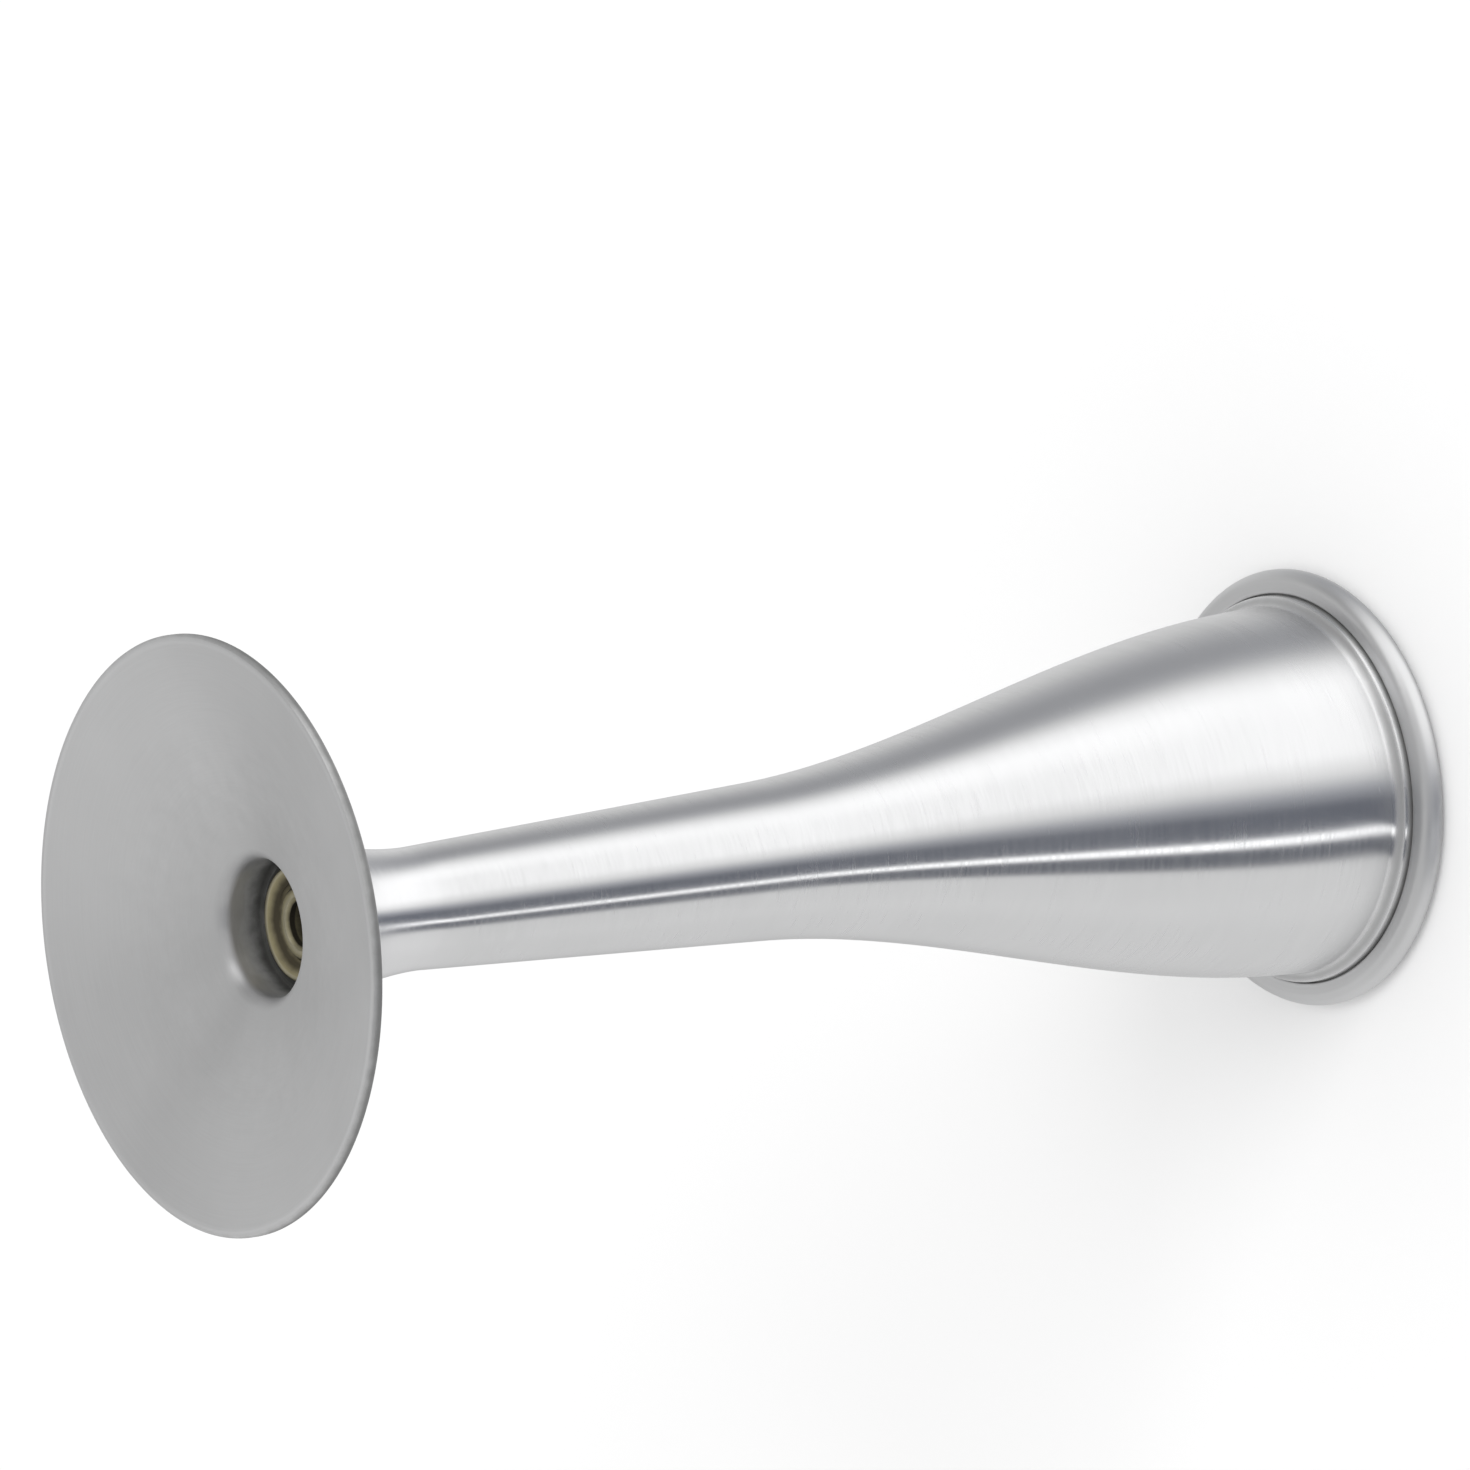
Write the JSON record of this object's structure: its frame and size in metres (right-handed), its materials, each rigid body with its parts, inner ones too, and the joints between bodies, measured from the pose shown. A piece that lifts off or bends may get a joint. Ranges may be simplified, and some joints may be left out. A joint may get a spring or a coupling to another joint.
{
  "type": "pinard horn",
  "caption": "Hand-held foetal stethoscope: a hollow metal trumpet with a ringed bell and a round dished ear plate that screws off the neck.",
  "frame": {"origin": "centre of the bell's mouth, in the plane that the horn stands on", "axes": "+Z along the horn's axis, from the bell up to the ear plate; the horn is round about +Z, so +X and +Y are free"},
  "size_m": [0.062, 0.062, 0.144],
  "materials": {
    "horn_aluminium": "brushed round the axis, satin",
    "ring_aluminium": "turned, satin",
    "plate_aluminium": "brushed in circles, matt satin",
    "bush_brass": "turned, dulled with age",
    "nipple_brass": "turned, dulled with age"
  },
  "bodies": {
    "horn": {"horn_body": "horn_aluminium", "bell_ring": "ring_aluminium", "neck_nipple": "nipple_brass"},
    "ear_piece": {"ear_plate": "plate_aluminium", "plate_bush": "bush_brass"}
  },
  "joints": [
    {"name": "ear_plate_unscrew", "type": "slide", "parent": "horn", "child": "ear_piece", "axis": [0, 0, 1], "range_m": [0, 0.012]}
  ]
}
